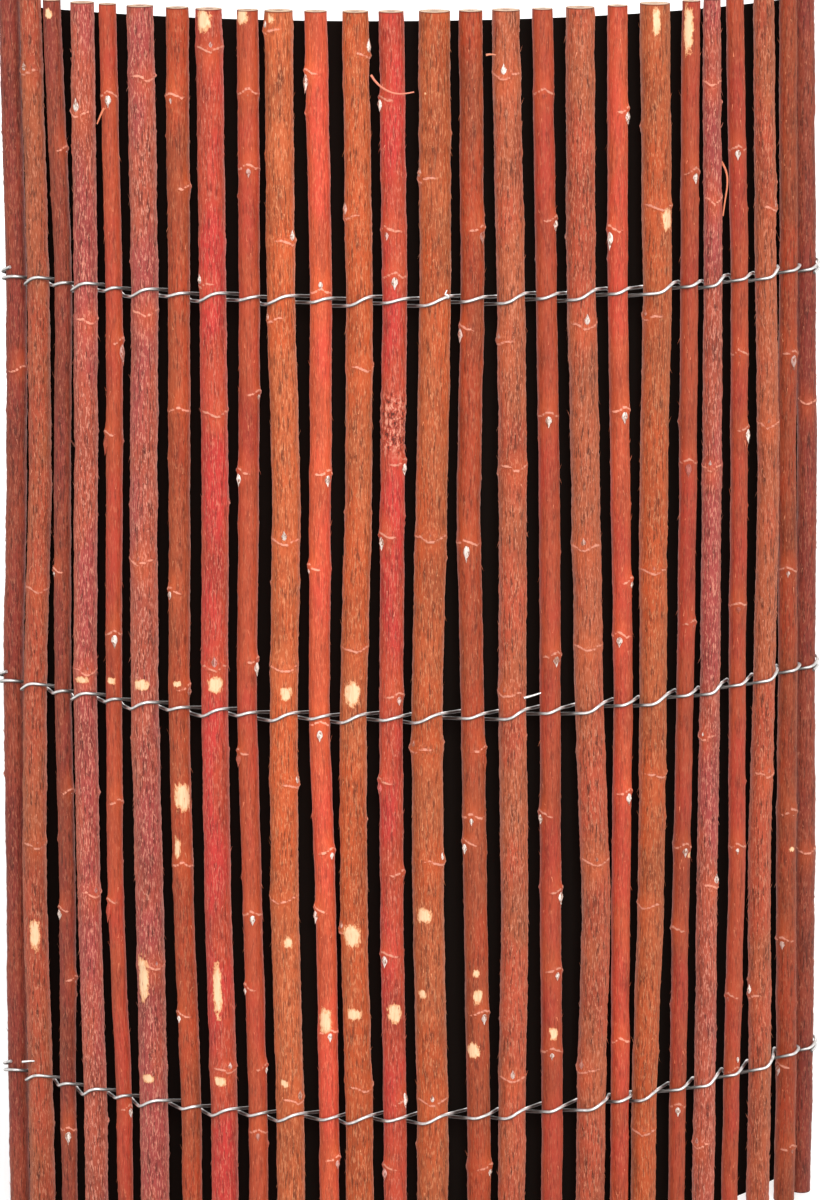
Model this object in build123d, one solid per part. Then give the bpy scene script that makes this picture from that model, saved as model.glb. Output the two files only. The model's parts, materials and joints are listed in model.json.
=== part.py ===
"""Section of willow screening: upright rods bound by three rows of paired wire, bowed as it came off its roll.

Millimetres, +Z up, the front faces -Y. One STEP file for each rod and each wire.
"""

import math
import os

from build123d import *

# Driving dimensions
PANEL_HEIGHT = 322.0
BOW_RADIUS = 137.0  # to the rods' middles
LOWEST_ROW = 42.0  # height of the lowest wire row above the foot
ROW_SPACING = 105.0
WIRE_DIAMETER = 0.8
WIRE_CLEARANCE = 0.12  # between a wire and the bark that it holds
SLIGHT_CLIMB = 1.1  # how far wire a of a row climbs as it crosses the front of a rod
STEEP_CLIMB = 2.3  # how far wire b climbs
BACK_DROP = 1.2  # how much lower a wire runs behind the rods than in front of them
WIRE_BEND = 0.85  # bend radius as a share of the distance from the rod's middle to the wire's
KNUCKLE_SWELL = 1.09  # thickness at a knuckle over the thickness beside it
KNUCKLE_HALF = 3.0  # reach of a knuckle above and below its middle
KNUCKLE_DATUM = 22.0  # height above the foot from which the knuckles' heights are measured
DEPTH_WANDER = 0.7  # how far a rod strays in and out between two wire rows

# Rods from left to right: thickness at the top and the foot, gap to the next rod at the top and at the upper,
# middle and lower wire rows, sideways sway halfway between the upper rows and halfway between the lower rows,
# and the heights of the rod's thickest knuckles above KNUCKLE_DATUM
RODS = [
    (5.2, 5.2, 2.0, 2.2, 2.4, 2.7, 0.6, -0.4, (206, 108)),
    (5.2, 6.5, 2.2, 3.4, 4.4, 4.4, 0.8, -0.6, (283, 151, 84)),
    (4.4, 4.0, 4.4, 1.8, 2.2, 4.0, 0.2, 0.5, (263, 99)),
    (5.8, 5.9, 2.4, 3.4, 3.8, 4.0, -0.2, -0.6, (222, 132, 74)),
    (4.2, 3.9, 3.8, 3.4, 3.5, 3.2, 0.2, -0.7, (216, 72)),
    (6.5, 7.3, 4.0, 3.2, 3.5, 4.5, -0.2, -0.3, (224, 162, 57)),
    (5.5, 5.0, 2.3, 2.9, 3.7, 3.1, -0.2, -0.2, (201, 84)),
    (6.5, 6.8, 3.9, 3.6, 2.6, 3.2, 0.6, -0.4, (292, 201, 137)),
    (5.2, 4.7, 1.7, 1.9, 3.5, 2.5, 0.0, -0.1, (261, 72)),
    (6.8, 7.1, 2.8, 3.8, 2.9, 3.9, 1.0, -0.5, (244, 170, 77)),
    (5.5, 4.9, 3.7, 3.5, 2.5, 1.8, 0.1, 0.4, (187, 118)),
    (6.3, 7.0, 2.4, 2.4, 3.2, 2.7, 0.5, -0.7, (214, 143, 69)),
    (6.1, 5.7, 3.6, 3.0, 2.1, 2.8, -0.2, -0.3, (202, 106)),
    (7.6, 7.9, 2.2, 2.5, 4.8, 5.0, 0.1, -0.3, (171, 116, 87)),
    (5.7, 5.9, 2.4, 3.4, 3.8, 2.3, -1.0, -0.2, (246, 168, 46)),
    (6.8, 6.9, 3.3, 3.1, 3.9, 4.7, 0.1, 0.8, (285, 188, 30)),
    (5.0, 5.4, 3.8, 3.1, 4.4, 4.5, 0.5, -0.1, (280, 138)),
    (7.0, 7.3, 4.1, 4.0, 3.7, 2.4, 0.2, 1.5, (167, 142, 85)),
    (5.0, 4.6, 4.2, 5.5, 3.0, 1.7, -0.2, 0.1, (199, 100)),
    (7.4, 6.3, 5.0, 3.8, 4.4, 5.3, -0.1, 0.6, (248, 158, 105)),
    (4.5, 4.2, 2.1, 3.2, 3.5, 4.2, -0.2, -0.3, (184, 83)),
    (4.3, 5.7, 3.3, 4.6, 5.0, 4.8, 0.2, 0.5, (251, 183, 73)),
    (4.4, 4.2, 5.6, 4.9, 5.6, 6.2, 0.7, 0.3, (210, 145)),
    (5.2, 6.0, 4.8, 4.4, 4.8, 6.2, 0.6, -0.8, (192, 40)),
    (4.4, 5.5, 2.4, 3.0, 3.2, 3.2, 0.0, -0.5, (151, 85)),
    (5.0, 5.2, 0.0, 0.0, 0.0, 0.0, 0.3, -0.3, (194, 74)),
]
# Where the first rod's middle lies along the bow, from the middle of the front, at the top and the three wire rows
FIRST_ROD = (-114.3, -113.5, -117.6, -118.8)

# Sizes that follow
WIRE_RADIUS = WIRE_DIAMETER / 2
WIRE_STANDOFF = WIRE_RADIUS + WIRE_CLEARANCE  # from the bark to the wire's middle
NARROWEST_GAP = 2 * WIRE_STANDOFF  # room for a wire to pass between two rods
ROW_HEIGHTS = [LOWEST_ROW + ROW_SPACING * row for row in (2, 1, 0)]
UPPER_ROW, MIDDLE_ROW, LOWER_ROW = ROW_HEIGHTS
HOOK_CLIMB = 2 * WIRE_DIAMETER  # how far a hooked end leaves its row, to miss the other wire


def thickness_at(rod, height):
    """Thickness of a rod at a height, tapering evenly from foot to top."""
    top, foot = rod[0], rod[1]
    return foot + (top - foot) * height / PANEL_HEIGHT


def places_along_bow():
    """Place of each rod's middle along the bow at the top and at the upper, middle and lower rows."""
    heights = [PANEL_HEIGHT] + ROW_HEIGHTS
    places = [list(FIRST_ROD)]
    for rod, neighbour in zip(RODS, RODS[1:]):
        row = []
        for level, height in enumerate(heights):
            gap = max(rod[2 + level], NARROWEST_GAP)
            pitch = thickness_at(rod, height) / 2 + gap + thickness_at(neighbour, height) / 2
            row.append(places[-1][level] + pitch)
        places.append(row)
    return places


def on_bow(place, depth):
    """Plan position of a point that lies some way along the bow and some way behind it."""
    angle = place / BOW_RADIUS
    reach = BOW_RADIUS - depth
    return reach * math.sin(angle), -reach * math.cos(angle)


def centre_line(number, places):
    """Points (height, x, y) on the middle of a rod, from its foot to its top."""
    rod = RODS[number]
    top, upper, middle, lower = places[number]
    high = (upper + middle) / 2 + rod[6]
    low = (middle + lower) / 2 + rod[7]
    stray_high = DEPTH_WANDER * math.sin(2.4 * number)
    stray_low = DEPTH_WANDER * math.sin(2.4 * number + 2.0)
    stations = [
        (0, lower, 0),
        (LOWER_ROW, lower, 0),
        ((LOWER_ROW + MIDDLE_ROW) / 2, low, stray_low),
        (MIDDLE_ROW, middle, 0),
        ((MIDDLE_ROW + UPPER_ROW) / 2, high, stray_high),
        (UPPER_ROW, upper, 0),
        (PANEL_HEIGHT, top, 0),
    ]
    return [(height, *on_bow(place, depth)) for height, place, depth in stations]


def middle_at(line, height):
    """Plan position of a rod's middle at a height between two points of its centre line."""
    for below, above in zip(line, line[1:]):
        if height <= above[0]:
            share = (height - below[0]) / (above[0] - below[0])
            return below[1] + share * (above[1] - below[1]), below[2] + share * (above[2] - below[2])
    return line[-1][1:]


def make_rod(number, places):
    """A rod lofted through round sections, thicker at its knuckles."""
    rod = RODS[number]
    line = centre_line(number, places)
    swell = {height: 1.0 for height, x, y in line}
    for height in rod[8]:
        knuckle = KNUCKLE_DATUM + height
        swell[knuckle - KNUCKLE_HALF] = 1.0
        swell[knuckle] = KNUCKLE_SWELL
        swell[knuckle + KNUCKLE_HALF] = 1.0
    sections = []
    for height in sorted(swell):
        x, y = middle_at(line, height)
        radius = swell[height] * thickness_at(rod, height) / 2
        sections.append(Pos(x, y, height) * Circle(radius))
    return loft(sections, ruled=True)


def wire_corner(seat, side, across, rise):
    """A corner of a wire's path: seat is (x, y, z, angle, reach), side +1 in front and -1 behind the rod."""
    x, y, z, angle, reach = seat
    out = side * reach
    return (
        x + out * math.sin(angle) + across * math.cos(angle),
        y - out * math.cos(angle) + across * math.sin(angle),
        z + rise,
    )


def wire_level(side, way, climb):
    """Height of a corner over its row: side +1 in front and -1 behind, way +1 at the right and -1 at the left."""
    return side * way * climb / 2 - (BACK_DROP if side < 0 else 0)


def hook_end(seat, side, way, climb):
    """Corners of a wire's end, bent round the outer side of the last rod; way is +1 at the right, -1 at the left."""
    reach = seat[4]
    level = wire_level(side, way, climb)
    round_level = level + side * -BACK_DROP
    end_level = round_level + side * way * HOOK_CLIMB
    return [
        wire_corner(seat, side, way * reach, level),
        wire_corner(seat, -side, way * reach, round_level),
        wire_corner(seat, -side, -way * reach * 0.3, end_level),
    ]


def make_wire(row, first_side, climb, lines):
    """One wire of a row, passing in front of one rod and behind the next, first_side +1 in front of the first."""
    height = ROW_HEIGHTS[row]
    seats = []
    for rod, line in zip(RODS, lines):
        x, y = middle_at(line, height)
        reach = thickness_at(rod, height) / 2 + WIRE_STANDOFF
        seats.append((x, y, height, math.atan2(x, -y), reach))

    def spread(seat, neighbour):
        """How far the corner lies beside the rod's middle, for the wire to run on into the gap."""
        apart = math.hypot(neighbour[0] - seat[0], neighbour[1] - seat[1])
        to_crossing = apart * seat[4] / (seat[4] + neighbour[4])
        return seat[4] * math.tan(math.asin(min(1.0, seat[4] / to_crossing)) / 2)

    last = len(seats) - 1
    corners = list(reversed(hook_end(seats[0], first_side, -1, climb)))
    reaches = [seats[0][4]] * 3
    for number, seat in enumerate(seats):
        side = first_side if number % 2 == 0 else -first_side
        if number > 0:
            left = -spread(seat, seats[number - 1])
            corners.append(wire_corner(seat, side, left, wire_level(side, -1, climb)))
            reaches.append(seat[4])
        if number < last:
            right = spread(seat, seats[number + 1])
            corners.append(wire_corner(seat, side, right, wire_level(side, 1, climb)))
            reaches.append(seat[4])
        else:
            corners.extend(hook_end(seat, side, 1, climb))
            reaches.extend([seat[4]] * 3)
    path = FilletPolyline(*corners, radius=[WIRE_BEND * reach for reach in reaches[1:-1]])
    return sweep(Plane(origin=path @ 0, z_dir=path % 0) * Circle(WIRE_RADIUS), path=path)


def build():
    """All the rods and wires by name, moved so that the middle of the foot is the origin."""
    places = places_along_bow()
    lines = [centre_line(number, places) for number in range(len(RODS))]
    pieces = {}
    for number in range(len(RODS)):
        pieces[f"rod_{number + 1:02d}"] = make_rod(number, places)
    for row, name in enumerate(("upper", "middle", "lower")):
        pieces[f"{name}_wire_a"] = make_wire(row, 1, SLIGHT_CLIMB, lines)
        pieces[f"{name}_wire_b"] = make_wire(row, -1, STEEP_CLIMB, lines)
    boxes = [piece.bounding_box() for piece in pieces.values()]
    middle_x = (min(box.min.X for box in boxes) + max(box.max.X for box in boxes)) / 2
    middle_y = (min(box.min.Y for box in boxes) + max(box.max.Y for box in boxes)) / 2
    return {name: Pos(-middle_x, -middle_y, 0) * piece for name, piece in pieces.items()}


os.makedirs("parts", exist_ok=True)
for name, piece in build().items():
    piece.label = name
    export_step(piece, f"parts/{name}.step")
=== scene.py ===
import json
import math
import random

import bpy
from mathutils import Matrix, Vector, noise


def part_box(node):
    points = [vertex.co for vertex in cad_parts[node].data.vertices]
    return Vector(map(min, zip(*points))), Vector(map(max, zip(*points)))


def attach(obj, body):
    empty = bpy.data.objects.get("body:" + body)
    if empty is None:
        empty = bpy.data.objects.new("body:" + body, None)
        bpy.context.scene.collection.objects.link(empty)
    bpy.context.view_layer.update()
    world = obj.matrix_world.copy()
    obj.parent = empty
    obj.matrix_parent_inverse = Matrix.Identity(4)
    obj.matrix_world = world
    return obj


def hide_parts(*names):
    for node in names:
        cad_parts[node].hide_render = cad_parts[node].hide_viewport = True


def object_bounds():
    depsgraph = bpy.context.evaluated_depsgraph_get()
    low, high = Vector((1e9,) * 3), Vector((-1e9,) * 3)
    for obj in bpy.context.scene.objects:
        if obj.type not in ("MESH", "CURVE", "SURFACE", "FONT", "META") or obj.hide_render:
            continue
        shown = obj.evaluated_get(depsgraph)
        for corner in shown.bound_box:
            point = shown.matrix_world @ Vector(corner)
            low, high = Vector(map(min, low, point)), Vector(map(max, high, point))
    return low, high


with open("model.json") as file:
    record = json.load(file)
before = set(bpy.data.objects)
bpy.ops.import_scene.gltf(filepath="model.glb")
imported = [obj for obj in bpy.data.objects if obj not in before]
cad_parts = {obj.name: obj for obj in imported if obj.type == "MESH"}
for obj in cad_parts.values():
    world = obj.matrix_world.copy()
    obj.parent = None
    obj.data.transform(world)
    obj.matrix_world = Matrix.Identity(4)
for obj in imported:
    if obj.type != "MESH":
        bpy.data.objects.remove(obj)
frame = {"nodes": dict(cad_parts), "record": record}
bpy.ops.object.select_all(action="DESELECT")
cadLow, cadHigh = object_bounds()

mm = 0.001
nodes = frame["nodes"]
rodNames = sorted(name for name in nodes if name.startswith("rod_"))
wireNames = sorted(name for name in nodes if "_wire_" in name)
slotOf = {part["node"]: part["material_slot"] for part in frame["record"]["subparts"]}
rodTop = cadHigh.z
print("frame loaded:", len(rodNames), "rods and", len(wireNames), "wires")


# the rods' middles, read from the solids

solidReading = {
    "ringPoints": 16,  # fewest corners of a full ring
    "rounding": (-7 * mm, -3.5 * mm, 0, 3.5 * mm, 7 * mm),  # over which a bend is rounded off
}


def solidRings(name):
    # full rings of the solid, as (height, x, y, radius)
    levels = {}
    for vertex in nodes[name].data.vertices:
        levels.setdefault(round(vertex.co.z, 5), set()).add((round(vertex.co.x, 6), round(vertex.co.y, 6)))
    rings = []
    for height, spots in sorted(levels.items()):
        if len(spots) < solidReading["ringPoints"]:
            continue
        x = sum(spot[0] for spot in spots) / len(spots)
        y = sum(spot[1] for spot in spots) / len(spots)
        radius = max(math.hypot(spot[0] - x, spot[1] - y) for spot in spots)
        rings.append((height, x, y, radius))
    return rings


ringsOf = {name: solidRings(name) for name in rodNames}


def straightMiddle(name, height):
    rings = ringsOf[name]
    height = min(max(height, rings[0][0]), rings[-1][0])
    for below, above in zip(rings, rings[1:]):
        if height <= above[0]:
            share = (height - below[0]) / (above[0] - below[0])
            return Vector((below[1], below[2])).lerp(Vector((above[1], above[2])), share)
    return Vector(rings[-1][1:3])


knownMiddles = {}


def middleAt(name, height):
    # the solid's bends, rounded off over a few millimetres
    key = (name, round(height, 5))
    if key not in knownMiddles:
        spots = [straightMiddle(name, height + step) for step in solidReading["rounding"]]
        knownMiddles[key] = sum(spots, Vector((0, 0))) / len(spots)
    return knownMiddles[key].copy()


def radiusAt(name, height):
    rings = ringsOf[name]
    return rings[0][3] + (rings[-1][3] - rings[0][3]) * height / rodTop


def circleThrough(a, b, c):
    # middle of the bow in plan, from three feet
    d = 2 * (a.x * (b.y - c.y) + b.x * (c.y - a.y) + c.x * (a.y - b.y))
    x = (a.length_squared * (b.y - c.y) + b.length_squared * (c.y - a.y) + c.length_squared * (a.y - b.y)) / d
    y = (a.length_squared * (c.x - b.x) + b.length_squared * (a.x - c.x) + c.length_squared * (b.x - a.x)) / d
    return Vector((x, y))


feet = [straightMiddle(name, 0) for name in rodNames]
bowMiddle = circleThrough(feet[0], feet[len(feet) // 2], feet[-1])
bowRadius = (feet[0] - bowMiddle).length
print("bow radius", round(bowRadius / mm, 1), "mm")


# camera at the photograph's angle

# the photograph's frame and focal length, in its own pixels
photo = {"width": 822, "height": 1200, "focal": 4800}
# finding the place on the bark that a pixel shows
pixelSearch = {"beyond": 20 * mm, "halvings": 40, "widest": 0.95}
cameraSet = {
    "turn": -6.27,  # degrees round the bow, towards its left
    "tilt": 13.3,  # degrees down
    "distance": 1.188,
    "aimHeight": 0.1765,
    "aside": 0.00866,  # how far the aim lies to the right of the nearest point of the bow
    "sensor": 36,
}


def placeCamera():
    turn = math.radians(cameraSet["turn"])
    tilt = math.radians(cameraSet["tilt"])
    towards = Vector((math.sin(turn), -math.cos(turn), 0))
    right = Vector((math.cos(turn), math.sin(turn), 0))
    nearest = Vector((bowMiddle.x, bowMiddle.y, cameraSet["aimHeight"])) + towards * bowRadius
    aim = nearest + right * cameraSet["aside"]
    back = towards * math.cos(tilt) + Vector((0, 0, math.sin(tilt)))
    bpy.ops.object.camera_add(location=aim + back * cameraSet["distance"])
    camera = bpy.context.object
    camera.name = "photoCamera"
    camera.rotation_mode = "QUATERNION"
    camera.rotation_quaternion = (-back).to_track_quat("-Z", "Y")
    camera.data.sensor_width = cameraSet["sensor"]
    camera.data.lens = cameraSet["sensor"] * photo["focal"] / photo["height"]
    bpy.context.scene.camera = camera
    return camera.location.copy(), right, back.cross(right), -back


eye, viewRight, viewUp, viewAhead = placeCamera()
print("camera placed")


def pointAt(column, row, depth):
    # the point that the photograph shows at a pixel, at a distance ahead of the camera
    across = (column - photo["width"] / 2) / photo["focal"]
    up = (photo["height"] / 2 - row) / photo["focal"]
    return eye + (viewAhead + viewRight * across + viewUp * up) * depth


def photoSpot(point):
    # where a point falls in the photograph, in its pixels
    ray = point - eye
    depth = ray.dot(viewAhead)
    x = photo["width"] / 2 + photo["focal"] * ray.dot(viewRight) / depth
    y = photo["height"] / 2 - photo["focal"] * ray.dot(viewUp) / depth
    return x, y


def barkPoint(name, height, facing):
    # a point on the bark; facing is the angle from the side that the camera sees, positive to the right
    middle = middleAt(name, height)
    angle = math.radians(cameraSet["turn"]) + facing
    out = Vector((math.sin(angle), -math.cos(angle), 0))
    return Vector((middle.x, middle.y, height)) + out * radiusAt(name, height), out


def heightAtRow(name, row):
    low, high = -pixelSearch["beyond"], rodTop + pixelSearch["beyond"]
    for step in range(pixelSearch["halvings"]):
        height = (low + high) / 2
        point = barkPoint(name, height, 0)[0]
        if photoSpot(point)[1] > row:
            low = height
        else:
            high = height
    return (low + high) / 2


def facingAtColumn(name, height, column):
    front = barkPoint(name, height, 0)[0]
    middle = photoSpot(front)[0]
    half = photo["focal"] * radiusAt(name, height) / (front - eye).dot(viewAhead)
    widest = pixelSearch["widest"]
    return math.asin(min(widest, max(-widest, (column - middle) / half)))


# what the photograph shows on each rod, by its rows and columns in pixels
# tone: how light the rod is beside others of its finish
# knuckles: (row, side, bud length in mm, paleness of the bud) with side -1 left to 1 right
# bare: patches without bark, as (column, row, width, height)
# burr: the rows between which the bark is knobbly

marks = {
    "rod_01": {"tone": 1.0, "knuckles": [(371, 0.5, 0, 0)]},
    "rod_02": {
        "tone": 0.85,
        "knuckles": [(70, -0.6, 2.5, 0.7), (588, 0.1, 0, 0), (844, 0.3, 1.5, 0.5)],
        "bare": [(35, 934, 10, 32)],
    },
    "rod_03": {
        "tone": 0.95,
        "knuckles": [
            (151, 0.9, 1.4, 0.6), (573, -0.9, 1.6, 0.7), (793, 0.7, 1.2, 0.5), (911, -0.9, 3.2, 0.9),
            (981, 0.9, 1.4, 0.6), (1131, 0, 4.2, 1),
        ],
        "bare": [(48, 14, 8, 10)],
    },
    "rod_04": {
        "tone": 1.05,
        "knuckles": [(112, -0.5, 4, 0.9), (319, 0.4, 0, 0), (670, 0.2, 1.5, 0.4), (893, 0.6, 2, 0.4)],
        "bare": [(81, 680, 15, 7)],
    },
    "rod_05": {
        "tone": 0.9,
        "knuckles": [
            (96, -0.1, 3.4, 0.8), (343, 1, 6.5, 0.5), (435, -1, 6, 0.25), (635, 0.1, 4, 0.9),
            (804, 0.5, 0, 0), (903, -0.9, 6, 0.25), (1110, 0.8, 2.6, 0.8),
        ],
        "bare": [(111, 681, 10, 7)],
    },
    "rod_06": {
        "tone": 1.0,
        "knuckles": [(76, 0.5, 0, 0), (311, 0.2, 0, 0), (560, -0.3, 1.5, 0.3), (965, 0.4, 1.5, 0.4)],
        "bare": [(141, 685, 16, 11), (143, 979, 12, 46), (148, 1079, 12, 9)],
    },
    "rod_07": {
        "tone": 1.0,
        "knuckles": [
            (98, -0.5, 2, 0.6), (190, 0.9, 1.5, 0.4), (412, 0, 2, 0.15), (593, -0.8, 2.5, 0.7),
            (690, 1, 3, 0.4), (867, 0, 0, 0), (1017, -0.8, 2.4, 1),
        ],
        "bare": [(177, 684, 8, 6), (183, 798, 17, 27), (177, 848, 7, 22)],
    },
    "rod_08": {
        "tone": 0.9,
        "knuckles": [
            (47, 0.1, 2, 0.5), (284, -0.95, 2.6, 1), (412, 0.2, 0, 0), (666, 0, 3, 0.5),
            (1069, 0.5, 2.2, 0.6),
        ],
        "bare": [(203, 20, 15, 22), (216, 685, 15, 16), (217, 990, 9, 56), (220, 1082, 12, 10)],
    },
    "rod_09": {
        "tone": 0.9,
        "knuckles": [
            (94, 0, 1.5, 0.4), (169, 0, 2.6, 0.5), (395, 0.85, 2, 0.9), (474, -0.9, 4, 0.95),
            (663, 0.95, 4.2, 0.8), (755, -0.95, 4, 0.3), (916, 0, 3, 0.85), (990, -1, 2.2, 0.8),
            (1069, 1, 2.2, 0.9), (1134, 0, 2.4, 0.4),
        ],
        "bare": [(242, 16, 12, 16)],
    },
    "rod_10": {
        "tone": 1.05,
        "knuckles": [
            (29, -0.95, 2.4, 1), (241, 0.8, 3, 0.8), (319, -1, 2, 0.5), (540, -0.1, 2.8, 1),
            (668, 0, 0, 0), (785, 0.95, 2.6, 0.7), (899, -0.3, 0, 0), (1100, 0.7, 2.8, 0.5),
        ],
        "bare": [(271, 18, 8, 10), (286, 694, 12, 12), (288, 943, 9, 11), (284, 1084, 8, 8)],
    },
    "rod_11": {
        "tone": 1.25,
        "knuckles": [
            (74, -1, 5.5, 0.7), (294, 0, 2.2, 0.8), (476, 0.6, 3.4, 0.85), (570, -1, 2.2, 0.8),
            (726, 0, 3, 0.95), (853, 0.7, 2.6, 0.8), (912, -1, 4, 0.7), (1034, 0.2, 2.6, 0.8),
            (1161, 0.8, 3, 0.5),
        ],
        "bare": [(325, 1021, 13, 24)],
    },
    "rod_12": {
        "tone": 0.95,
        "knuckles": [
            (54, 1, 4, 0.8), (216, -1, 4, 0.5), (367, 0.6, 0, 0), (648, 0.1, 1.4, 0.3),
            (930, -0.9, 2.5, 0.5), (1088, 0.5, 0, 0),
        ],
        "bare": [(352, 694, 16, 24), (352, 936, 17, 24), (354, 1015, 15, 12)],
    },
    "rod_13": {
        "tone": 0.9,
        "knuckles": [
            (18, 1, 5.5, 1), (101, -1, 3.2, 0.8), (232, -0.5, 2.6, 0.6), (278, 0, 3.4, 1),
            (465, 0.95, 3.4, 1), (538, -0.8, 4, 0.9), (698, 0.6, 2.6, 0.6), (784, -1, 4, 0.35),
            (876, 0.9, 1.6, 0.7), (957, -0.6, 3.6, 0.8), (1105, 0.9, 4.2, 0.9), (1170, -0.9, 4, 0.5),
        ],
        "bare": [(395, 1014, 15, 19)],
        "burr": (387, 462),
    },
    "rod_14": {
        "tone": 0.9,
        "knuckles": [
            (178, -1, 3, 0.45), (537, 0, 1.6, 0.35), (749, -0.8, 2.4, 0.4), (862, 0.9, 2.4, 1),
            (1101, 0, 2.2, 0.7),
        ],
        "bare": [(426, 94, 5, 4), (424, 916, 15, 16), (422, 995, 9, 9)],
    },
    "rod_15": {
        "tone": 0.9,
        "knuckles": [
            (20, 0, 3.2, 0.9), (231, 0.8, 4, 0.4), (330, -1, 4, 0.6), (545, -0.2, 5, 0.75),
            (752, 0.9, 6.5, 0.1), (819, -0.2, 2.2, 0.9), (845, -0.8, 3.2, 0.95), (1015, 0.5, 3.2, 0.7),
            (1170, 0.95, 3, 0.9),
        ],
        "bare": [(476, 974, 7, 8), (478, 998, 9, 15), (473, 1051, 14, 15)],
    },
    "rod_16": {
        "tone": 0.95,
        "knuckles": [
            (74, -0.2, 3, 0.9), (340, -0.9, 2, 0.4), (466, 0.3, 0, 0), (693, -0.5, 2, 0.3),
            (1078, 0, 2.6, 0.6),
        ],
    },
    "rod_17": {
        "tone": 0.8,
        "knuckles": [
            (94, 0, 1.8, 0.3), (221, 0.95, 3.2, 0.8), (417, 0, 3.2, 1), (657, 0.5, 3.2, 0.85),
            (816, -0.9, 3, 1), (893, 0.95, 4, 0.9), (973, 0.5, 2.6, 0.95), (1053, 0, 2.4, 0.7),
        ],
        "bare": [(554, 1034, 9, 12)],
    },
    "rod_18": {
        "tone": 0.9,
        "knuckles": [
            (324, 0.3, 3, 0.75), (546, -0.2, 2.6, 0.5), (646, 0, 0, 0), (861, 0.1, 1.6, 0.4),
            (1070, -0.7, 3, 0.4),
        ],
    },
    "rod_19": {
        "tone": 1.05,
        "knuckles": [
            (112, 0.95, 3.8, 0.8), (231, -0.7, 5.5, 0.95), (412, 0.4, 3.6, 0.8), (583, 1, 2.2, 0.9),
            (637, -0.3, 3.2, 0.8), (794, 0.6, 3.6, 0.8), (1043, 0, 0, 0),
        ],
    },
    "rod_20": {
        "tone": 0.85,
        "knuckles": [
            (205, 0.3, 0, 0), (316, -0.8, 1.8, 0.4), (570, 0, 1.5, 0.35), (774, 0.6, 0, 0),
            (905, -0.5, 0, 0), (1131, 0, 1.8, 0.3),
        ],
        "bare": [(657, 22, 8, 28), (668, 220, 14, 22)],
    },
    "rod_21": {
        "tone": 0.75,
        "knuckles": [
            (174, 0.5, 3, 0.9), (464, 0, 4, 0.35), (625, 0.7, 1.6, 0.4), (848, 0.3, 3, 0.7),
            (931, -0.7, 1.4, 0.8), (1108, 0, 2.8, 0.8),
        ],
        "bare": [(688, 30, 10, 48), (690, 856, 8, 7)],
    },
    "rod_22": {
        "tone": 1.0,
        "knuckles": [
            (81, 0, 0, 0), (198, 0.2, 0, 0), (466, -0.2, 2, 0.6), (736, -0.6, 1.4, 0.8),
            (884, 0.8, 3, 0.75), (1144, -0.6, 2.2, 0.4),
        ],
    },
    "rod_23": {
        "tone": 0.8,
        "knuckles": [
            (150, 0, 3, 0.75), (355, 0, 1.4, 0.3), (430, 0.95, 4.2, 1), (606, 0, 2.5, 0.3),
            (848, 0, 2.2, 0.7), (998, -0.6, 1.5, 0.4), (1072, 0.6, 1.6, 0.8),
        ],
    },
    "rod_24": {
        "tone": 0.9,
        "knuckles": [
            (207, 0.9, 2.2, 0.4), (423, 0, 1.6, 0.35), (773, 0.5, 2, 0.35), (995, -0.95, 3, 0.95),
        ],
    },
    "rod_25": {
        "tone": 0.75,
        "knuckles": [
            (355, 0.5, 4.5, 0.5), (571, 0, 2.2, 0.6), (814, 0.5, 1.6, 0.6), (941, -0.4, 3, 0.5),
            (1068, -0.8, 3, 0.5), (1150, 0.6, 1.6, 0.5),
        ],
        "bare": [(792, 850, 6, 6)],
    },
    "rod_26": {"tone": 0.9, "knuckles": [(400, 0, 0, 0), (850, 0, 0, 0)]},
}
# strips of loose bark, by the columns and rows that they pass
looseBark = {
    "rod_05": [[(104, 108), (101, 114), (97, 124)]],
    "rod_13": [[(371, 75), (376, 83), (386, 91), (399, 95), (414, 92)]],
    "rod_16": [[(486, 55), (491, 54), (496, 55)]],
    "rod_23": [[(719, 158), (727, 170), (728, 184), (725, 200), (723, 216)]],
}
# loose wire ends, each by the rod that it lies beside
wireTails = [
    ("rod_14", [(441, 300), (445, 297), (449, 299), (448, 294), (444, 296), (447, 290)]),
    ("rod_16", [(524, 698), (532, 696), (541, 693)]),
    ("rod_02", [(22, 1062), (29, 1061), (36, 1061)]),
]


# rods

rodShape = {
    "step": 0.75 * mm,  # between rings
    "fineStep": 0.32 * mm,  # between rings at a knuckle
    "fineReach": 2.4 * mm,
    "bevelRounds": 10,
    "squareEnd": 0.4 * mm,  # upright stretch at a sawn end
    "lastStep": 1.6 * mm,  # left below the top for the last rings
    "endRoom": 1 * mm,  # bark that stays even beside a sawn end
    "wireReach": 7 * mm,  # bark that stays more even beside a wire row
    "wireGrain": 0.35,  # share of the grain left under the wires
    "smoothAngle": 50,
    "crook": 0.16 * mm,  # small sideways wander
    "crookLength": 11 * mm,
    "plump": 0.035,  # share by which the thickness wanders
    "plumpLength": 9 * mm,
    "swell": 0.035,  # share by which a knuckle is thicker all round
    "swellReach": 2.2 * mm,
    "grainDepth": 0.34 * mm,
    "grainSize": 1.1 * mm,
    "grainStretch": 5,
    "scaleDepth": 0.36 * mm,  # small scales of the bark
    "scaleSize": 0.5 * mm,
    "scaleStretch": 2.4,
    "burrDepth": 0.75 * mm,
    "burrSize": 0.9 * mm,
    "burrLevel": 0.42,
    "burrRings": 6,
    "barkRim": 0.35 * mm,
    "pith": 0.2,  # share of the thickness
}
rowLevels = sorted({round((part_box(name)[0].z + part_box(name)[1].z) / 2, 3) for name in wireNames})


def nearRow(height):
    return min(1, min(abs(height - level) for level in rowLevels) / rodShape["wireReach"])


def awayFromEnds(height):
    return rodShape["endRoom"] < height < rodTop - rodShape["endRoom"]


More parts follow.
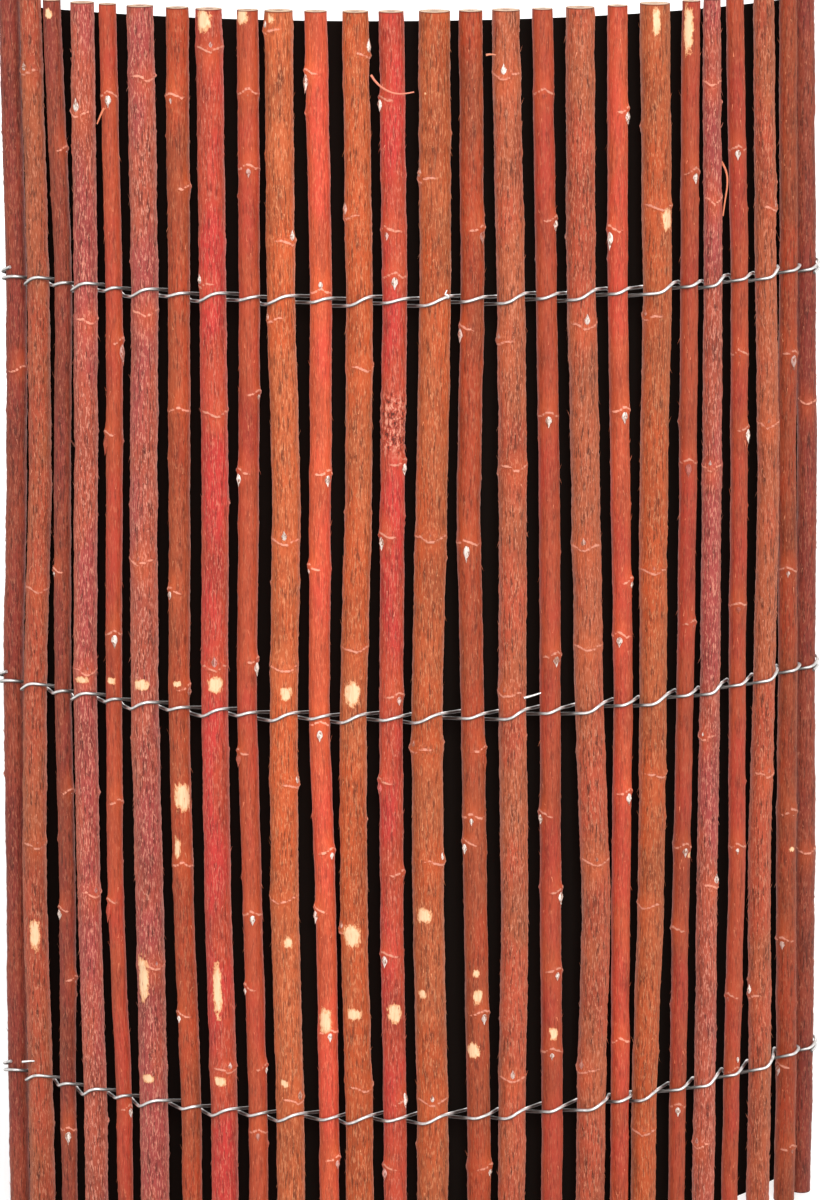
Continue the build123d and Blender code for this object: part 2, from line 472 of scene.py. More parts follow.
def rodHeights(fineSpots):
    heights = [0, rodShape["squareEnd"]]
    while heights[-1] < rodTop - rodShape["lastStep"]:
        near = any(abs(heights[-1] - spot) < rodShape["fineReach"] for spot in fineSpots)
        heights.append(heights[-1] + (rodShape["fineStep"] if near else rodShape["step"]))
    return heights[:-1] + [rodTop - rodShape["squareEnd"], rodTop]


def rodOutline(name, number, fineSpots, knuckleHeights):
    # ring middles and radii of the rod; the odd numbers keep the rods' wanderings apart
    points, radii = [], []
    for height in rodHeights(fineSpots):
        level = min(max(height, rodShape["squareEnd"]), rodTop - rodShape["squareEnd"])
        middle = middleAt(name, level)
        free = nearRow(height)
        spot = Vector((number * 3.1, 0.5, level / rodShape["crookLength"]))
        middle.x += rodShape["crook"] * free * noise.noise(spot)
        middle.y += rodShape["crook"] * free * noise.noise(spot + Vector((0, 7.3, 0)))
        plumpSpot = Vector((number * 2.3, 9.1, height / rodShape["plumpLength"]))
        swell = rodShape["plump"] * free * noise.noise(plumpSpot)
        for knuckle in knuckleHeights:
            lift = (height - knuckle) / rodShape["swellReach"]
            swell += rodShape["swell"] * free * math.exp(-lift * lift)
        points.append(Vector((middle.x, middle.y, height)))
        radii.append(radiusAt(name, height) * (1 + swell))
    return points, radii


def sweepTube(name, points, radii, rounds):
    # a poly curve with a round bevel, made a mesh
    bpy.ops.curve.primitive_nurbs_path_add()
    curve = bpy.context.object
    curve.name = name
    curve.data.splines.clear()
    spline = curve.data.splines.new("POLY")
    spline.points.add(len(points) - 1)
    for spot, point, radius in zip(spline.points, points, radii):
        spot.co = (point.x, point.y, point.z, 1)
        spot.radius = radius / mm
    curve.data.dimensions = "3D"
    curve.data.twist_mode = "MINIMUM"
    curve.data.bevel_depth = mm
    curve.data.bevel_resolution = rounds
    curve.data.use_fill_caps = True
    bpy.ops.object.convert(target="MESH")
    tube = bpy.context.object
    tube.data.name = name
    return tube


def selectFaces(piece, chosen):
    # selects the faces that the test picks, in face mode
    bpy.ops.object.mode_set(mode="EDIT")
    bpy.ops.mesh.select_mode(type="FACE")
    bpy.ops.mesh.select_all(action="DESELECT")
    bpy.ops.object.mode_set(mode="OBJECT")
    for face in piece.data.polygons:
        face.select = chosen(face)
    bpy.ops.object.mode_set(mode="EDIT")


def isSawnEnd(face):
    return abs(face.normal.z) > 0.99


def sawEnds(rod, rim, pith):
    # rings on both sawn ends, for the bark's edge and the pith
    selectFaces(rod, isSawnEnd)
    bpy.ops.mesh.dissolve_faces()
    bpy.ops.object.mode_set(mode="OBJECT")
    selectFaces(rod, isSawnEnd)
    bpy.ops.mesh.inset(thickness=rim, use_individual=True)
    bpy.ops.mesh.inset(thickness=pith, use_individual=True)
    bpy.ops.object.mode_set(mode="OBJECT")


def displaceBy(rod, weights, depth, texture=None, level=0, stretch=1):
    # moves the bark along its normals, by weights from 0 to 1 and a texture
    group = rod.vertex_groups.new(name="bark")
    for index, weight in enumerate(weights):
        if weight > 0.001:
            group.add([index], min(1, weight), "REPLACE")
    bpy.ops.object.empty_add()
    guide = bpy.context.object
    guide.scale = (1, 1, stretch)
    bpy.context.view_layer.update()
    bpy.ops.object.select_all(action="DESELECT")
    rod.select_set(True)
    bpy.context.view_layer.objects.active = rod
    bpy.ops.object.modifier_add(type="DISPLACE")
    displace = rod.modifiers[-1]
    if texture:
        displace.texture = texture
        displace.texture_coords = "OBJECT"
        displace.texture_coords_object = guide
    displace.vertex_group = "bark"
    displace.mid_level = level
    displace.strength = depth
    bpy.ops.object.modifier_apply(modifier=displace.name)
    rod.vertex_groups.clear()
    bpy.data.objects.remove(guide)


def cloudTexture(name, size, depth):
    texture = bpy.data.textures.new(name, "CLOUDS")
    texture.noise_scale = size
    texture.noise_depth = depth
    return texture


barkGrain = cloudTexture("barkGrain", rodShape["grainSize"], 3)
barkScales = cloudTexture("barkScales", rodShape["scaleSize"], 1)
burrGrain = cloudTexture("burrGrain", rodShape["burrSize"], 2)

budShape = {
    "around": 12,
    "rings": 8,
    "wide": 0.5,  # of its length
    "deep": 0.42,
    "widest": 3.2,  # a longer bud is no wider than one of this length
    "tip": 0.55,
    "drawnIn": (0.05, 0.25, 0.4),  # of its length over its middle, where it is drawn in towards the tip
    "sink": 0.4 * mm,
    "lift": 0.15 * mm,
    "lean": 0.12,
    "wireRoom": 2.4 * mm,
}


def modelBud():
    # one dry bud, a millimetre long, with its tip up
    bpy.ops.object.select_all(action="DESELECT")
    bpy.ops.mesh.primitive_uv_sphere_add(
        segments=budShape["around"], ring_count=budShape["rings"], radius=0.5 * mm
    )
    bud = bpy.context.object
    bud.name = "budPattern"
    bpy.ops.object.mode_set(mode="EDIT")
    bpy.ops.mesh.select_mode(type="VERT")
    bpy.ops.mesh.select_all(action="SELECT")
    bpy.ops.transform.resize(value=(budShape["wide"], budShape["deep"], 1), center_override=(0, 0, 0))
    for level in budShape["drawnIn"]:
        bpy.ops.mesh.select_all(action="DESELECT")
        bpy.ops.object.mode_set(mode="OBJECT")
        for vertex in bud.data.vertices:
            vertex.select = vertex.co.z > level * mm
        bpy.ops.object.mode_set(mode="EDIT")
        bpy.ops.transform.resize(value=(budShape["tip"], budShape["tip"], 1), center_override=(0, 0, 0))
    bpy.ops.object.mode_set(mode="OBJECT")
    bpy.ops.object.shade_smooth()
    return bud


def modelSliver():
    # one frayed fibre, a millimetre long, from its root up to its tip
    bpy.ops.object.select_all(action="DESELECT")
    half = 0.5 * mm
    bpy.ops.mesh.primitive_cone_add(vertices=4, radius1=half, radius2=0, depth=mm, location=(0, 0, half))
    bpy.ops.object.transform_apply(location=True)
    sliver = bpy.context.object
    sliver.name = "sliverPattern"
    return sliver


budPattern = modelBud()
sliverPattern = modelSliver()


def giveValues(piece, values):
    for name, value in values.items():
        mark = piece.data.attributes.new(name, "FLOAT", "POINT")
        mark.data.foreach_set("value", [value] * len(piece.data.vertices))


def setOn(pattern, spot, out, up, sizes, values):
    # a copy of a pattern on the bark, its length along up, with values for the material
    piece = pattern.copy()
    piece.data = pattern.data.copy()
    bpy.context.collection.objects.link(piece)
    across = up.cross(out).normalized()
    turn = Matrix((across, across.cross(up), up)).transposed().to_4x4()
    piece.data.transform(Matrix.Translation(spot) @ turn @ Matrix.Diagonal((*sizes, 1)))
    giveValues(piece, values)
    return piece


def clearOfWires(height, half):
    # shifts a bud off the wires
    for level in rowLevels:
        room = half + budShape["wireRoom"]
        if abs(height - level) < room:
            height = level + math.copysign(room, height - level)
    return height


def placeBud(name, height, facing, length, pale, upward):
    middle = clearOfWires(height + upward * (length / 2 - budShape["sink"]), length / 2)
    spot, out = barkPoint(name, middle, facing)
    up = (Vector((0, 0, upward)) + out * budShape["lean"]).normalized()
    long = length / mm
    wide = min(long, budShape["widest"])
    values = {"budTone": pale, "tone": marks[name]["tone"]}
    return setOn(budPattern, spot + out * budShape["lift"], out, up, (wide, wide, long), values)


fraySet = {
    "few": 24,
    "more": 360,  # times the finish's roughness
    "long": (0.6, 2.0),
    "wide": (0.16, 0.4),
    "lean": (0.14, 0.46),
    "aside": 0.25,
    "pale": (0.35, 1),
    "flat": 0.5,  # thickness as a share of the width
    "sink": 0.06 * mm,
    "endRoom": 6 * mm,
    "wireRoom": 0.8,  # as nearRow gives it
}


def frayBark(name, rough):
    # loose fibres all over a rod
    slivers = []
    for step in range(round(fraySet["few"] + fraySet["more"] * rough)):
        height = random.uniform(fraySet["endRoom"], rodTop - fraySet["endRoom"])
        facing = random.uniform(-math.pi, math.pi)
        length = random.uniform(*fraySet["long"])
        wide = random.uniform(*fraySet["wide"])
        lean = random.uniform(*fraySet["lean"])
        way = random.choice((-1, 1))
        aside = random.uniform(-1, 1) * fraySet["aside"]
        if nearRow(height) < fraySet["wireRoom"]:
            continue
        spot, out = barkPoint(name, height, facing)
        up = Vector((0, 0, way)) + out * lean + out.cross(Vector((0, 0, 1))) * aside
        values = {"fray": random.uniform(*fraySet["pale"]), "tone": marks[name]["tone"]}
        sizes = (wide, wide * fraySet["flat"], length)
        root = spot - out * fraySet["sink"]
        slivers.append(setOn(sliverPattern, root, out, up.normalized(), sizes, values))
    return slivers


stripShape = {
    "divisions": 4,
    "smoothings": 6,
    "taper": 0.5,
    "rounds": 3,
    "barkThick": 0.3 * mm,
    "barkLift": 1.2 * mm,
}


def stripOf(name, rod, spots, thick, lift):
    # a thin strip through spots of the photograph, held off a rod
    front = barkPoint(rod, heightAtRow(rod, spots[0][1]), 0)[0]
    depth = (front - eye).dot(viewAhead) - lift
    corners = [pointAt(column, row, depth) for column, row in spots]
    points = []
    divisions = stripShape["divisions"]
    for first, second in zip(corners, corners[1:]):
        points += [first.lerp(second, step / divisions) for step in range(divisions)]
    points.append(corners[-1])
    for smoothing in range(stripShape["smoothings"]):
        inner = [(a + 2 * b + c) / 4 for a, b, c in zip(points, points[1:], points[2:])]
        points = [points[0]] + inner + [points[-1]]
    radii = [thick * (1 - stripShape["taper"] * step / len(points)) for step in range(len(points))]
    return sweepTube(name, points, radii, stripShape["rounds"])


def joinInto(piece, others):
    bpy.ops.object.select_all(action="DESELECT")
    for other in others:
        other.select_set(True)
    piece.select_set(True)
    bpy.context.view_layer.objects.active = piece
    bpy.ops.object.join()


knuckleShape = {
    "dip": 1.2 * mm,  # how far the ridge bends round the bud
    "dipReach": 0.5,  # in radians round the rod
    "reach": 1.75,
    "fade": 2.2,  # how fast the ridge ends
    "wobble": 0.55 * mm,
    "wobblePace": 2.6,
    "wobbleChange": 900,  # from one knuckle to the next
    "ridgeHalf": 0.42 * mm,
    "ridgeLift": 0.24 * mm,
    "padHalf": 1.6 * mm,
    "padReach": 0.8,
    "padLift": 0.34 * mm,
    "padDrop": 0.4 * mm,
    "plainPad": 0.6,  # where there is no bud
    "glowReach": 4.5 * mm,
    "glowRound": 1.1,
    "glowDrop": 1.5 * mm,
    "farOff": 3,  # reaches of the glow past which a knuckle is left out
    "sideTurn": 1.15,  # radians round the rod for a side of 1
    "endRoom": 3 * mm,
}
backKnuckles = {
    "count": 4,
    "first": 0.14,  # of the rod's height
    "apart": 0.24,
    "stray": 0.07,
    "turn": 0.8,
    "lengths": (0, 2.2, 3.2),
    "pale": (0.3, 1),
}


def knuckleMarks(height, facing, knuckles, upward):
    # ridge, pad and glow of the knuckles at one place on the bark
    ridge = pad = glow = 0
    for number, (level, side, length, pale) in enumerate(knuckles):
        above = height - level
        if abs(above) > knuckleShape["farOff"] * knuckleShape["glowReach"]:
            continue
        turn = (facing - side + math.pi) % (2 * math.pi) - math.pi
        glowAbove = (above + upward * knuckleShape["glowDrop"]) / knuckleShape["glowReach"]
        glow = max(glow, math.exp(-glowAbove ** 2 - (turn / knuckleShape["glowRound"]) ** 2))
        fade = min(1, max(0, knuckleShape["fade"] * (1 - abs(turn) / knuckleShape["reach"])))
        bend = math.exp(-(turn / knuckleShape["dipReach"]) ** 2)
        wobbleSpot = (turn * knuckleShape["wobblePace"], level * knuckleShape["wobbleChange"], number)
        wobble = knuckleShape["wobble"] * noise.noise(Vector(wobbleSpot))
        line = -upward * knuckleShape["dip"] * bend + wobble
        ridge = max(ridge, fade * math.exp(-((above - line) / knuckleShape["ridgeHalf"]) ** 2))
        padAbove = (above + upward * knuckleShape["padDrop"]) / knuckleShape["padHalf"]
        padTurn = turn / knuckleShape["padReach"]
        full = 1 if length else knuckleShape["plainPad"]
        pad = max(pad, full * math.exp(-padAbove * padAbove - padTurn ** 2))
    return ridge, pad, glow


markSet = {
    "patchPower": 2.5,  # 2 is an oval, more is squarer
    "patchEdge": 0.5,  # value of the mark on a patch's outline
    "patchFar": 2,  # half heights past which a patch is left out
    "burrFade": 4 * mm,
    "sawnWithin": 0.05 * mm,
}


def markBark(rod, name, knuckles, patches, burr, tone, upward):
    # per-point values that the bark material reads; gives back how far the knuckles and the burr stand out
    mesh = rod.data
    power = markSet["patchPower"]
    turn = math.radians(cameraSet["turn"])
    values = {key: [] for key in ("bare", "glow", "ridge", "burr", "sawn", "core", "tone")}
    lifts, scabs = [], []
    for vertex in mesh.vertices:
        height = vertex.co.z
        middle = middleAt(name, height)
        away = Vector((vertex.co.x - middle.x, vertex.co.y - middle.y))
        radius = radiusAt(name, height)
        facing = math.atan2(away.x, -away.y) - turn
        bare = 0
        for patchHeight, patchFacing, halfWide, halfHigh in patches:
            if abs(height - patchHeight) < markSet["patchFar"] * halfHigh:
                across = abs(facing - patchFacing) * radius / halfWide
                along = abs(height - patchHeight) / halfHigh
                reach = (across ** power + along ** power) ** (1 / power)
                bare = max(bare, 1 - markSet["patchEdge"] * reach)
        ridge, pad, glow = knuckleMarks(height, facing, knuckles, upward)
        free = nearRow(height) if awayFromEnds(height) else 0
        inBurr = min(height - burr[0], burr[1] - height) if burr else 0
        scab = min(1, max(0, inBurr / markSet["burrFade"]))
        lifts.append(free * (knuckleShape["ridgeLift"] * ridge + knuckleShape["padLift"] * pad) / mm)
        scabs.append(scab)
        values["bare"].append(bare)
        values["glow"].append(glow)
        values["ridge"].append(ridge)
        values["burr"].append(scab)
        values["sawn"].append(1 if min(height, rodTop - height) < markSet["sawnWithin"] else 0)
        values["core"].append(max(0, 1 - away.length / radius))
        values["tone"].append(tone)
    for key, numbers in values.items():
        mark = mesh.attributes.new(key, "FLOAT", "POINT")
        mark.data.foreach_set("value", numbers)
    for key in ("budTone", "fray"):
        mesh.attributes.new(key, "FLOAT", "POINT")
    return lifts, scabs


def rodKnuckles(name, detail):
    # the photograph's knuckles, and some more round the back
    knuckles = []
    for row, side, length, pale in detail["knuckles"]:
        knuckles.append((heightAtRow(name, row), side * knuckleShape["sideTurn"], length * mm, pale))
    stray, turn = backKnuckles["stray"], backKnuckles["turn"]
    for step in range(backKnuckles["count"]):
        share = backKnuckles["first"] + backKnuckles["apart"] * step + random.uniform(-stray, stray)
        length = random.choice(backKnuckles["lengths"]) * mm
        facing = math.pi + random.uniform(-turn, turn)
        knuckles.append((share * rodTop, facing, length, random.uniform(*backKnuckles["pale"])))
    room = knuckleShape["endRoom"]
    return [knuckle for knuckle in knuckles if room < knuckle[0] < rodTop - room]


def makeRod(name, number):
    random.seed(number)
    detail = marks[name]
    finish = finishes[slotOf[name]]
    upward = 1 if number % 2 else -1  # every other rod stands on its thin end
    knuckles = rodKnuckles(name, detail)
    burr = detail.get("burr")
    fineSpots = [knuckle[0] for knuckle in knuckles]
    if burr:
        burr = sorted(heightAtRow(name, row) for row in burr)
        rings = rodShape["burrRings"]
        fineSpots += [burr[0] + (burr[1] - burr[0]) * step / rings for step in range(rings + 1)]
    points, radii = rodOutline(name, number, fineSpots, [knuckle[0] for knuckle in knuckles])
    rod = sweepTube(name + "_bark", points, radii, rodShape["bevelRounds"])
    pithInset = min(radiusAt(name, 0), radiusAt(name, rodTop)) * (1 - rodShape["pith"]) - rodShape["barkRim"]
    sawEnds(rod, rodShape["barkRim"], pithInset)
    patches = []
    for column, row, wide, high in detail.get("bare", []):
        height = heightAtRow(name, row)
        pixel = (barkPoint(name, height, 0)[0] - eye).dot(viewAhead) / photo["focal"]
        patches.append((height, facingAtColumn(name, height, column), wide * pixel / 2, high * pixel / 2))
    lifts, scabs = markBark(rod, name, knuckles, patches, burr, detail["tone"], upward)
    displaceBy(rod, lifts, mm)
    if burr:
        displaceBy(rod, scabs, rodShape["burrDepth"], burrGrain, rodShape["burrLevel"])
    inside = []
    least = rodShape["wireGrain"]
    for vertex in rod.data.vertices:
        height = vertex.co.z
        inside.append(least + (1 - least) * nearRow(height) if awayFromEnds(height) else 0)
    for part, texture in (("grain", barkGrain), ("scale", barkScales)):
        depth = rodShape[part + "Depth"] * finish["rough"]
        displaceBy(rod, inside, depth, texture, 0.5, rodShape[part + "Stretch"])
    bpy.ops.object.shade_smooth_by_angle(angle=math.radians(rodShape["smoothAngle"]))
    extras = [placeBud(name, *knuckle, upward) for knuckle in knuckles if knuckle[2] > 0]
    extras += frayBark(name, finish["rough"])
    for spots in looseBark.get(name, []):
        strip = stripOf(name + "_strip", name, spots, stripShape["barkThick"], stripShape["barkLift"])
        giveValues(strip, {"fray": 1, "tone": 1})
        extras.append(strip)
    joinInto(rod, extras)
    rod.data.materials.clear()
    rod.data.materials.append(barkMaterial(slotOf[name]))
    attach(rod, "root")
    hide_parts(name)


# materials

# nodes stand in columns, in the order in which they are made
nodeGrid = {"left": -3600, "across": 220, "down": -280, "column": 4}


def addNode(tree, kind, **settings):
    node = tree.nodes.new(kind)
    column, row = divmod(len(tree.nodes), nodeGrid["column"])
    node.location = (nodeGrid["left"] + nodeGrid["across"] * column, nodeGrid["down"] * row)
    for key, value in settings.items():
        setattr(node, key, value)
    return node


def setInputs(node, values):
    for name, value in values.items():
        node.inputs[name].default_value = value


def newMaterial(name):
    material = bpy.data.materials.new(name)
    material.use_nodes = True
    tree = material.node_tree
    return material, tree, tree.nodes["Principled BSDF"]


def mixColours(tree, factor, first, second):
    # mixes two colours, each a socket or an (r, g, b), by a socket or a number
    node = addNode(tree, "ShaderNodeMix", data_type="RGBA")
    for socket, value in ((node.inputs[0], factor), (node.inputs[6], first), (node.inputs[7], second)):
        if isinstance(value, bpy.types.NodeSocket):
            tree.links.new(value, socket)
        elif isinstance(value, tuple):
            socket.default_value = (*value, 1)
        else:
            socket.default_value = value
    return node.outputs[2]


def calculate(tree, operation, first, second=0.5):
    node = addNode(tree, "ShaderNodeMath", operation=operation)
    for socket, value in zip(node.inputs, (first, second)):
        if isinstance(value, bpy.types.NodeSocket):
            tree.links.new(value, socket)
        else:
            socket.default_value = value
    return node.outputs[0]


def ramp(tree, value, low, high):
    node = addNode(tree, "ShaderNodeMapRange", interpolation_type="SMOOTHSTEP")
    tree.links.new(value, node.inputs["Value"])
    setInputs(node, {"From Min": low, "From Max": high})
    return node.outputs["Result"]


def stretchedNoise(tree, coordinates, stretch, scale, detail, roughness):
    mapping = addNode(tree, "ShaderNodeMapping")
    setInputs(mapping, {"Scale": (1, 1, stretch)})
    tree.links.new(coordinates, mapping.inputs["Vector"])
    grain = addNode(tree, "ShaderNodeTexNoise")
    setInputs(grain, {"Scale": scale, "Detail": detail, "Roughness": roughness})
    tree.links.new(mapping.outputs["Vector"], grain.inputs["Vector"])
    return grain.outputs["Fac"]


# noises of the bark: stretch along the rod, scale, detail and roughness
barkNoise = {
    "streak": (0.1, 2100, 5, 0.65),
    "fleck": (0.16, 3500, 3, 0.6),
    "blotch": (0.35, 130, 3, 0.55),
    "drift": (0.4, 75, 2, 0.5),
    "ragged": (0.5, 1300, 4, 0.65),
    "fine": (0.25, 3600, 4, 0.7),
}
# the noise at which a mark starts and at which it is full
barkMask = {"streak": (0.46, 0.66), "fleck": (0.51, 0.64), "blotch": (0.45, 0.7), "drift": (0.42, 0.58)}


def barkGroup():
    # lengthwise streaks, pale flecks, blotches, slow drifts of tone, and raggedness for the edges of marks
    group = bpy.data.node_groups.new("willowBark", "ShaderNodeTree")
    for name in ("Streak", "Fleck", "Blotch", "Drift", "Height", "Ragged"):
        group.interface.new_socket(name=name, in_out="OUTPUT", socket_type="NodeSocketFloat")
    output = addNode(group, "NodeGroupOutput")
    place = addNode(group, "ShaderNodeTexCoord").outputs["Object"]
    noises = {}
    for name, settings in barkNoise.items():
        noises[name] = stretchedNoise(group, place, *settings)
    for name, fade in barkMask.items():
        mask = ramp(group, noises[name], *fade)
        group.links.new(mask, output.inputs[name.capitalize()])
    height = calculate(group, "ADD", noises["streak"], noises["fine"])
    group.links.new(height, output.inputs["Height"])
    group.links.new(noises["ragged"], output.inputs["Ragged"])
    return group


willowBark = barkGroup()

# bark finishes by the record's slots: tones, shares of pale flecks and of dark streaks, and roughness
# drift: the tone into which the main one wanders
finishes = {
    "bark_maroon": {
        "dark": (0.050, 0.008, 0.004), "main": (0.275, 0.047, 0.022),
        "drift": (0.24, 0.034, 0.021), "pale": (0.46, 0.155, 0.09),
        "fleck": 0.5, "streak": 0.8, "rough": 0.8,
    },
    "bark_tan": {
        "dark": (0.085, 0.017, 0.007), "main": (0.445, 0.100, 0.039),
        "drift": (0.49, 0.078, 0.034), "pale": (0.66, 0.245, 0.140),
        "fleck": 0.7, "streak": 0.9, "rough": 1.1,
    },
    "bark_mauve": {
        "dark": (0.080, 0.013, 0.008), "main": (0.43, 0.080, 0.042),
        "drift": (0.37, 0.058, 0.050), "pale": (0.68, 0.27, 0.185),
        "fleck": 0.8, "streak": 0.9, "rough": 1.1,
    },
    "bark_vermilion": {
        "dark": (0.115, 0.013, 0.005), "main": (0.475, 0.073, 0.028),
        "drift": (0.50, 0.057, 0.029), "pale": (0.68, 0.21, 0.108),
        "fleck": 0.35, "streak": 0.55, "rough": 0.5,
    },
    "bark_orange": {
        "dark": (0.075, 0.011, 0.004), "main": (0.365, 0.064, 0.022),
        "drift": (0.42, 0.056, 0.018), "pale": (0.57, 0.20, 0.10),
        "fleck": 0.45, "streak": 0.7, "rough": 0.7,
    },
    "bark_crimson": {
        "dark": (0.12, 0.010, 0.006), "main": (0.53, 0.064, 0.029),
        "drift": (0.60, 0.043, 0.034), "pale": (0.72, 0.24, 0.155),
        "fleck": 0.55, "streak": 0.7, "rough": 0.8,
    },
    "bark_ochre": {
        "dark": (0.105, 0.020, 0.006), "main": (0.49, 0.103, 0.032),
        "drift": (0.53, 0.088, 0.022), "pale": (0.70, 0.275, 0.13),
        "fleck": 0.6, "streak": 0.85, "rough": 0.9,
    },
}
sharedTones = {
    "glow": (0.66, 0.115, 0.032),
    "ridge": (0.76, 0.30, 0.20),
    "crack": (0.10, 0.018, 0.010),
    "bare": (0.88, 0.60, 0.36),
    "bareEdge": (0.72, 0.31, 0.14),
    "budWhite": (0.90, 0.82, 0.74),
    "budBrown": (0.30, 0.13, 0.08),
    "wood": (0.66, 0.46, 0.27),
    "oldWood": (0.44, 0.29, 0.17),
    "pith": (0.20, 0.10, 0.05),
}


# shares of the marks on the bark, or the values between which each fades in
barkLook = {
    "blotch": 0.35,
    "glow": 0.4,
    "ridge": (0.24, 0.44),
    "scab": (0.5, 0.6),
    "crack": (0.46, 0.38),
    "ragged": 0.85,
    "bareEdge": (0.86, 0.95),
    "bare": (0.92, 1.1),
    "stain": 0.45,
    "budBrown": (0.48, 0.62),
    "bud": (0.2, 0.9),
    "weathered": (0.4, 0.62),
    "pith": (0.6, 0.76),
    "rim": (0.04, 0.1),
    "shader": {"Roughness": 0.55, "Specular IOR Level": 0.25, "Sheen Roughness": 0.45},
    "sheen": 0.4,
    "bump": 0.5,
    "bumpDepth": 0.25 * mm,
}


def readMark(tree, name):
    return addNode(tree, "ShaderNodeAttribute", attribute_name=name).outputs["Fac"]


barkMaterials = {}


def barkMaterial(slot):
    if slot not in barkMaterials:
        barkMaterials[slot] = makeBarkMaterial(slot)
    return barkMaterials[slot]


def plainBark(tree, finish, bark):
    streaks = calculate(tree, "MULTIPLY", bark["Streak"], finish["streak"])
    colour = mixColours(tree, bark["Drift"], finish["main"], finish["drift"])
    colour = mixColours(tree, streaks, colour, finish["dark"])
    blotches = calculate(tree, "MULTIPLY", bark["Blotch"], barkLook["blotch"])
    colour = mixColours(tree, blotches, colour, finish["dark"])
    flecks = calculate(tree, "MULTIPLY", bark["Fleck"], finish["fleck"])
    return mixColours(tree, flecks, colour, finish["pale"])


def knuckleTones(tree, bark, colour):
    # warm round a knuckle, pale on its ridge, scabbed and cracked on a burr
    glow = calculate(tree, "MULTIPLY", readMark(tree, "glow"), barkLook["glow"])
    colour = mixColours(tree, glow, colour, sharedTones["glow"])
    ridge = calculate(tree, "MULTIPLY", readMark(tree, "ridge"), bark["Ragged"])
    ridge = ramp(tree, ridge, *barkLook["ridge"])
    colour = mixColours(tree, ridge, colour, sharedTones["ridge"])
    burr = readMark(tree, "burr")
    scab = ramp(tree, bark["Ragged"], *barkLook["scab"])
    scab = calculate(tree, "MULTIPLY", burr, scab)
    colour = mixColours(tree, scab, colour, sharedTones["ridge"])
    crack = ramp(tree, bark["Ragged"], *barkLook["crack"])
    crack = calculate(tree, "MULTIPLY", burr, crack)
    return mixColours(tree, crack, colour, sharedTones["crack"])


def ownTone(tree, finish, colour):
    # the rod's own lightness, and pale loose fibres
    scale = addNode(tree, "ShaderNodeVectorMath", operation="SCALE")
    tree.links.new(colour, scale.inputs[0])
    tree.links.new(readMark(tree, "tone"), scale.inputs["Scale"])
    return mixColours(tree, readMark(tree, "fray"), scale.outputs[0], finish["pale"])


def rubbedBark(tree, bark, colour):
    # bare wood in ragged patches
    edge = calculate(tree, "MULTIPLY_ADD", bark["Ragged"], barkLook["ragged"])
    tree.links.new(readMark(tree, "bare"), edge.node.inputs[2])
    rim = ramp(tree, edge, *barkLook["bareEdge"])
    colour = mixColours(tree, rim, colour, sharedTones["bareEdge"])
    stained = calculate(tree, "MULTIPLY", bark["Streak"], barkLook["stain"])
    wood = mixColours(tree, stained, sharedTones["bare"], sharedTones["bareEdge"])
    return mixColours(tree, ramp(tree, edge, *barkLook["bare"]), colour, wood)


def budTones(tree, bark, colour):
    brown = ramp(tree, bark["Ragged"], *barkLook["budBrown"])
    brown = calculate(tree, "MAXIMUM", bark["Streak"], brown)
    white = mixColours(tree, brown, sharedTones["budWhite"], sharedTones["budBrown"])
    bud = ramp(tree, readMark(tree, "budTone"), *barkLook["bud"])
    return mixColours(tree, bud, colour, white)


def endTones(tree, finish, bark, colour):
    # a sawn end's bark rim, wood and pith
    core = readMark(tree, "core")
    weathered = ramp(tree, bark["Ragged"], *barkLook["weathered"])
    wood = mixColours(tree, weathered, sharedTones["wood"], sharedTones["oldWood"])
    pith = ramp(tree, core, *barkLook["pith"])
    wood = mixColours(tree, pith, wood, sharedTones["pith"])
    rim = ramp(tree, core, *barkLook["rim"])
    endTone = mixColours(tree, rim, finish["dark"], wood)
    return mixColours(tree, readMark(tree, "sawn"), colour, endTone)


def makeBarkMaterial(slot):
    finish = finishes[slot]
    material, tree, shader = newMaterial("willow_" + slot)
    bark = addNode(tree, "ShaderNodeGroup", node_tree=willowBark).outputs
    colour = plainBark(tree, finish, bark)
    colour = knuckleTones(tree, bark, colour)
    colour = ownTone(tree, finish, colour)
    colour = rubbedBark(tree, bark, colour)
    colour = budTones(tree, bark, colour)
    colour = endTones(tree, finish, bark, colour)
    bump = addNode(tree, "ShaderNodeBump")
    setInputs(bump, {"Strength": barkLook["bump"] * finish["rough"], "Distance": barkLook["bumpDepth"]})
    tree.links.new(bark["Height"], bump.inputs["Height"])
    setInputs(shader, barkLook["shader"])
    sheen = barkLook["sheen"] * finish["rough"]
    setInputs(shader, {"Sheen Weight": sheen, "Sheen Tint": (*finish["pale"], 1)})
    tree.links.new(colour, shader.inputs["Base Color"])
    tree.links.new(bump.outputs["Normal"], shader.inputs["Normal"])
    return material


wireSet = {
    "bright": (0.84, 0.81, 0.79),
    "dull": (0.56, 0.54, 0.52),
    # painted shade on the wire's undersides
    "underShade": (0.12, 0.11, 0.10),
    # painted shade on the wire where it crosses through the gaps between the rods
    "gapShade": (0.07, 0.060, 0.055),
    "gapShadeFrom": 0.8 * mm,  # in front of the rods' middles, or behind them
    "gapShadeTo": 3.2 * mm,
    "worn": (1, 700, 4, 0.6),  # as in barkNoise
    "wornFade": (0.35, 0.65),
    "underShadeFade": (0.05, -0.55),
    "shader": {"Metallic": 0.6, "Roughness": 0.38},
    "tail": 0.36 * mm,
    "tailLift": -0.5 * mm,
}


